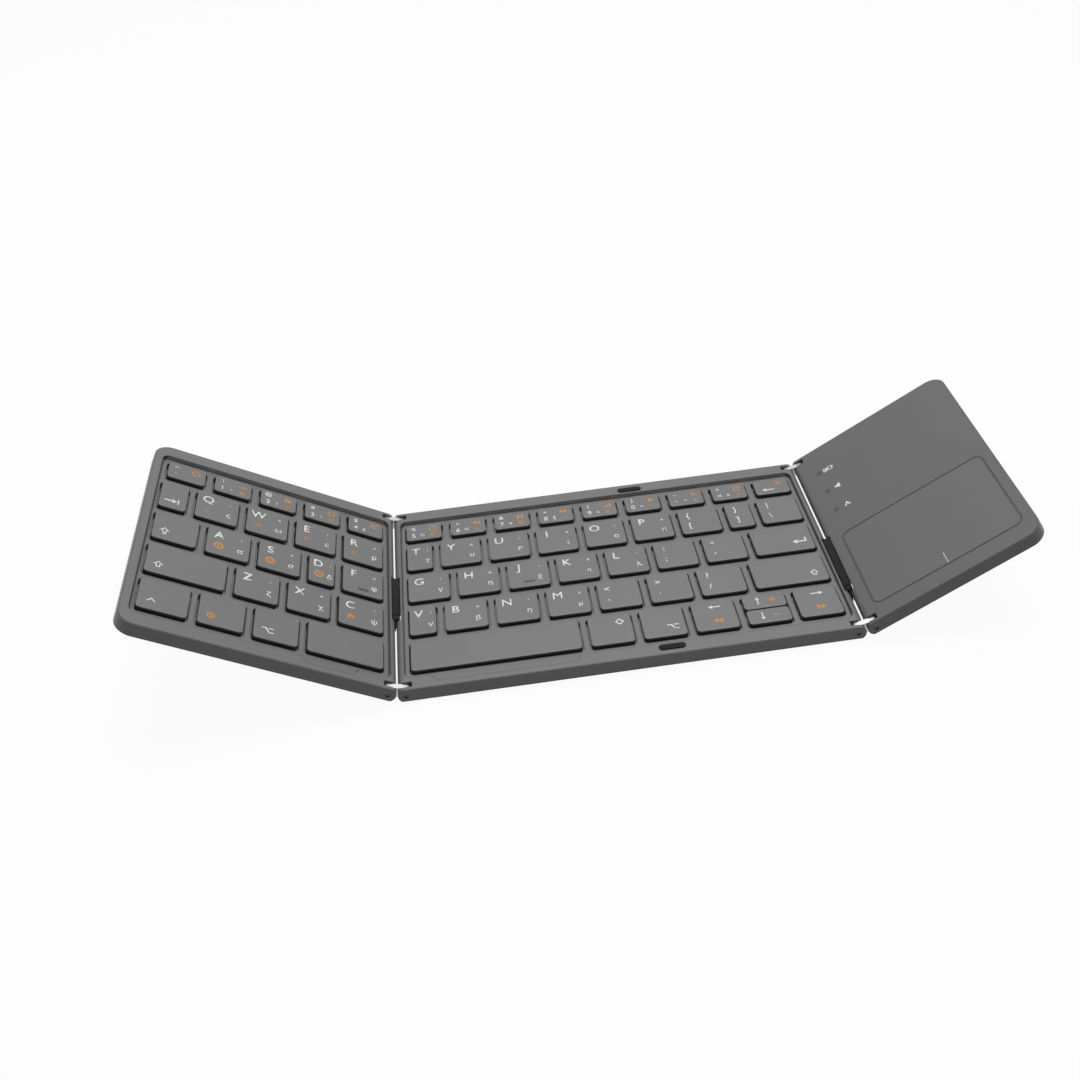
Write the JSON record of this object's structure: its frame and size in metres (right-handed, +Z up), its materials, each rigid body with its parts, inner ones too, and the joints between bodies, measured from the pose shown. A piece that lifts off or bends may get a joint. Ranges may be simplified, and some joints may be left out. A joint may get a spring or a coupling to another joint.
{
  "type": "folding keyboard",
  "caption": "Pocket keyboard that folds in three: a centre key panel, a left key wing and a right touchpad wing on double-pivot link hinges, keys and touchpad that press",
  "frame": {"origin": "centre of the centre panel's flat underside; the rubber feet stand 0.8 mm below it", "axes": "+X to the right along the three panels, +Y to the rear, +Z up out of the key tops"},
  "size_m": [0.297, 0.0984, 0.0515],
  "materials": {
    "grey_frame": "satin grey paint",
    "grey_cover": "satin grey paint",
    "dark_cover": "fine matt texture",
    "key_plastic": "satin, printed legends",
    "steel_sheet": "plain rolled",
    "circuit_sheet": "printed film",
    "silicone": "matt translucent",
    "white_moulding": "as moulded",
    "dark_steel": "black oxide",
    "black_rubber": "matt",
    "bright_link": "polished",
    "flat_cable": "polyimide film",
    "pad_face": "smooth matt",
    "green_board": "solder mask",
    "battery_foil": "dull foil",
    "smoked_window": "smoked"
  },
  "bodies": {
    "centre_panel": {"centre_frame": "grey_frame", "centre_bottom_cover": "dark_cover", "centre_support_plate": "steel_sheet", "centre_circuit_sheet": "circuit_sheet", "centre_dome_sheet": "silicone", "centre_scissors": "white_moulding", "centre_screws": "dark_steel", "centre_feet": "black_rubber", "bumper_pads": "black_rubber", "centre_hinge_pins": "dark_steel"},
    "left_link": {"left_hinge_links": "bright_link", "left_cable_sleeve": "black_rubber", "left_flex_cable": "flat_cable"},
    "left_wing": {"left_frame": "grey_frame", "left_bottom_cover": "dark_cover", "left_support_plate": "steel_sheet", "left_circuit_sheet": "circuit_sheet", "left_dome_sheet": "silicone", "left_scissors": "white_moulding", "left_screws": "dark_steel", "left_feet": "black_rubber", "left_hinge_pins": "dark_steel"},
    "right_link": {"right_hinge_links": "bright_link", "right_cable_sleeve": "black_rubber", "right_flex_cable": "flat_cable"},
    "right_wing": {"right_top_cover": "grey_cover", "right_bottom_cover": "dark_cover", "touchpad_switch": "steel_sheet", "main_board": "green_board", "battery": "battery_foil", "charging_socket": "steel_sheet", "indicator_windows": "smoked_window", "right_screws": "dark_steel", "right_feet": "black_rubber", "right_hinge_pins": "dark_steel"},
    "touchpad_plate": {"touchpad": "pad_face", "touchpad_sensor_board": "green_board"},
    "escape_key_cap": {"escape_key": "key_plastic"},
    "left_number_key_group": {"left_number_keys": "key_plastic"},
    "tab_key_cap": {"tab_key": "key_plastic"},
    "left_top_letter_key_group": {"left_top_letter_keys": "key_plastic"},
    "caps_lock_key_cap": {"caps_lock_key": "key_plastic"},
    "left_home_letter_key_group": {"left_home_letter_keys": "key_plastic"},
    "left_shift_key_cap": {"left_shift_key": "key_plastic"},
    "left_bottom_letter_key_group": {"left_bottom_letter_keys": "key_plastic"},
    "left_modifier_key_group": {"left_modifier_keys": "key_plastic"},
    "left_space_key_cap": {"left_space_key": "key_plastic"},
    "right_number_key_group": {"right_number_keys": "key_plastic"},
    "backspace_key_cap": {"backspace_key": "key_plastic"},
    "right_top_letter_key_group": {"right_top_letter_keys": "key_plastic"},
    "right_home_letter_key_group": {"right_home_letter_keys": "key_plastic"},
    "enter_key_cap": {"enter_key": "key_plastic"},
    "right_bottom_letter_key_group": {"right_bottom_letter_keys": "key_plastic"},
    "right_shift_key_cap": {"right_shift_key": "key_plastic"},
    "right_space_key_cap": {"right_space_key": "key_plastic"},
    "right_modifier_key_group": {"right_modifier_keys": "key_plastic"},
    "arrow_left_key_cap": {"arrow_left_key": "key_plastic"},
    "arrow_up_key_cap": {"arrow_up_key": "key_plastic"},
    "arrow_down_key_cap": {"arrow_down_key": "key_plastic"},
    "arrow_right_key_cap": {"arrow_right_key": "key_plastic"}
  },
  "joints": [
    {"name": "left_inner_hinge", "type": "hinge", "parent": "centre_panel", "child": "left_link", "pos_m": [-0.076, 0, 0.00255], "axis": [0, 1, 0], "range_deg": [-15, 75], "deforming": ["left_cable_sleeve", "left_flex_cable"]},
    {"name": "left_outer_hinge", "type": "hinge", "parent": "left_link", "child": "left_wing", "pos_m": [-0.08189, 0, 0.00413], "axis": [0, 1, 0], "range_deg": [-15, 75], "deforming": ["left_cable_sleeve", "left_flex_cable"]},
    {"name": "right_inner_hinge", "type": "hinge", "parent": "centre_panel", "child": "right_link", "pos_m": [0.076, 0, 0.00255], "axis": [0, -1, 0], "range_deg": [-15, 75], "deforming": ["right_cable_sleeve", "right_flex_cable"]},
    {"name": "right_outer_hinge", "type": "hinge", "parent": "right_link", "child": "right_wing", "pos_m": [0.08189, 0, 0.00413], "axis": [0, -1, 0], "range_deg": [-15, 75], "deforming": ["right_cable_sleeve", "right_flex_cable"]},
    {"name": "touchpad_press", "type": "hinge", "parent": "right_wing", "child": "touchpad_plate", "pos_m": [0.10781, -0.00278, 0.02123], "axis": [0.866, 0, 0.5], "range_deg": [0, 0.7], "stiffness_Nm_per_rad": 1.2, "springref_deg": -0.34},
    {"name": "escape_key_press", "type": "slide", "parent": "left_wing", "child": "escape_key_cap", "axis": [-0.5, 0, -0.866], "range_m": [0, 0.0012], "stiffness_N_per_m": 300, "springref_m": -0.0006, "deforming": ["left_dome_sheet", "left_scissors"]},
    {"name": "left_number_keys_press", "type": "slide", "parent": "left_wing", "child": "left_number_key_group", "axis": [-0.5, 0, -0.866], "range_m": [0, 0.0012], "stiffness_N_per_m": 300, "springref_m": -0.0006, "deforming": ["left_dome_sheet", "left_scissors"]},
    {"name": "tab_key_press", "type": "slide", "parent": "left_wing", "child": "tab_key_cap", "axis": [-0.5, 0, -0.866], "range_m": [0, 0.0012], "stiffness_N_per_m": 300, "springref_m": -0.0006, "deforming": ["left_dome_sheet", "left_scissors"]},
    {"name": "left_top_letter_keys_press", "type": "slide", "parent": "left_wing", "child": "left_top_letter_key_group", "axis": [-0.5, 0, -0.866], "range_m": [0, 0.0012], "stiffness_N_per_m": 300, "springref_m": -0.0006, "deforming": ["left_dome_sheet", "left_scissors"]},
    {"name": "caps_lock_key_press", "type": "slide", "parent": "left_wing", "child": "caps_lock_key_cap", "axis": [-0.5, 0, -0.866], "range_m": [0, 0.0012], "stiffness_N_per_m": 300, "springref_m": -0.0006, "deforming": ["left_dome_sheet", "left_scissors"]},
    {"name": "left_home_letter_keys_press", "type": "slide", "parent": "left_wing", "child": "left_home_letter_key_group", "axis": [-0.5, 0, -0.866], "range_m": [0, 0.0012], "stiffness_N_per_m": 300, "springref_m": -0.0006, "deforming": ["left_dome_sheet", "left_scissors"]},
    {"name": "left_shift_key_press", "type": "slide", "parent": "left_wing", "child": "left_shift_key_cap", "axis": [-0.5, 0, -0.866], "range_m": [0, 0.0012], "stiffness_N_per_m": 300, "springref_m": -0.0006, "deforming": ["left_dome_sheet", "left_scissors"]},
    {"name": "left_bottom_letter_keys_press", "type": "slide", "parent": "left_wing", "child": "left_bottom_letter_key_group", "axis": [-0.5, 0, -0.866], "range_m": [0, 0.0012], "stiffness_N_per_m": 300, "springref_m": -0.0006, "deforming": ["left_dome_sheet", "left_scissors"]},
    {"name": "left_modifier_keys_press", "type": "slide", "parent": "left_wing", "child": "left_modifier_key_group", "axis": [-0.5, 0, -0.866], "range_m": [0, 0.0012], "stiffness_N_per_m": 300, "springref_m": -0.0006, "deforming": ["left_dome_sheet", "left_scissors"]},
    {"name": "left_space_key_press", "type": "slide", "parent": "left_wing", "child": "left_space_key_cap", "axis": [-0.5, 0, -0.866], "range_m": [0, 0.0012], "stiffness_N_per_m": 300, "springref_m": -0.0006, "deforming": ["left_dome_sheet", "left_scissors"]},
    {"name": "right_number_keys_press", "type": "slide", "parent": "centre_panel", "child": "right_number_key_group", "axis": [0, 0, -1], "range_m": [0, 0.0012], "stiffness_N_per_m": 300, "springref_m": -0.0006, "deforming": ["centre_dome_sheet", "centre_scissors"]},
    {"name": "backspace_key_press", "type": "slide", "parent": "centre_panel", "child": "backspace_key_cap", "axis": [0, 0, -1], "range_m": [0, 0.0012], "stiffness_N_per_m": 300, "springref_m": -0.0006, "deforming": ["centre_dome_sheet", "centre_scissors"]},
    {"name": "right_top_letter_keys_press", "type": "slide", "parent": "centre_panel", "child": "right_top_letter_key_group", "axis": [0, 0, -1], "range_m": [0, 0.0012], "stiffness_N_per_m": 300, "springref_m": -0.0006, "deforming": ["centre_dome_sheet", "centre_scissors"]},
    {"name": "right_home_letter_keys_press", "type": "slide", "parent": "centre_panel", "child": "right_home_letter_key_group", "axis": [0, 0, -1], "range_m": [0, 0.0012], "stiffness_N_per_m": 300, "springref_m": -0.0006, "deforming": ["centre_dome_sheet", "centre_scissors"]},
    {"name": "enter_key_press", "type": "slide", "parent": "centre_panel", "child": "enter_key_cap", "axis": [0, 0, -1], "range_m": [0, 0.0012], "stiffness_N_per_m": 300, "springref_m": -0.0006, "deforming": ["centre_dome_sheet", "centre_scissors"]},
    {"name": "right_bottom_letter_keys_press", "type": "slide", "parent": "centre_panel", "child": "right_bottom_letter_key_group", "axis": [0, 0, -1], "range_m": [0, 0.0012], "stiffness_N_per_m": 300, "springref_m": -0.0006, "deforming": ["centre_dome_sheet", "centre_scissors"]},
    {"name": "right_shift_key_press", "type": "slide", "parent": "centre_panel", "child": "right_shift_key_cap", "axis": [0, 0, -1], "range_m": [0, 0.0012], "stiffness_N_per_m": 300, "springref_m": -0.0006, "deforming": ["centre_dome_sheet", "centre_scissors"]},
    {"name": "right_space_key_press", "type": "slide", "parent": "centre_panel", "child": "right_space_key_cap", "axis": [0, 0, -1], "range_m": [0, 0.0012], "stiffness_N_per_m": 300, "springref_m": -0.0006, "deforming": ["centre_dome_sheet", "centre_scissors"]},
    {"name": "right_modifier_keys_press", "type": "slide", "parent": "centre_panel", "child": "right_modifier_key_group", "axis": [0, 0, -1], "range_m": [0, 0.0012], "stiffness_N_per_m": 300, "springref_m": -0.0006, "deforming": ["centre_dome_sheet", "centre_scissors"]},
    {"name": "arrow_left_key_press", "type": "slide", "parent": "centre_panel", "child": "arrow_left_key_cap", "axis": [0, 0, -1], "range_m": [0, 0.0012], "stiffness_N_per_m": 300, "springref_m": -0.0006, "deforming": ["centre_dome_sheet", "centre_scissors"]},
    {"name": "arrow_up_key_press", "type": "slide", "parent": "centre_panel", "child": "arrow_up_key_cap", "axis": [0, 0, -1], "range_m": [0, 0.0012], "stiffness_N_per_m": 300, "springref_m": -0.0006, "deforming": ["centre_dome_sheet", "centre_scissors"]},
    {"name": "arrow_down_key_press", "type": "slide", "parent": "centre_panel", "child": "arrow_down_key_cap", "axis": [0, 0, -1], "range_m": [0, 0.0012], "stiffness_N_per_m": 300, "springref_m": -0.0006, "deforming": ["centre_dome_sheet", "centre_scissors"]},
    {"name": "arrow_right_key_press", "type": "slide", "parent": "centre_panel", "child": "arrow_right_key_cap", "axis": [0, 0, -1], "range_m": [0, 0.0012], "stiffness_N_per_m": 300, "springref_m": -0.0006, "deforming": ["centre_dome_sheet", "centre_scissors"]}
  ]
}
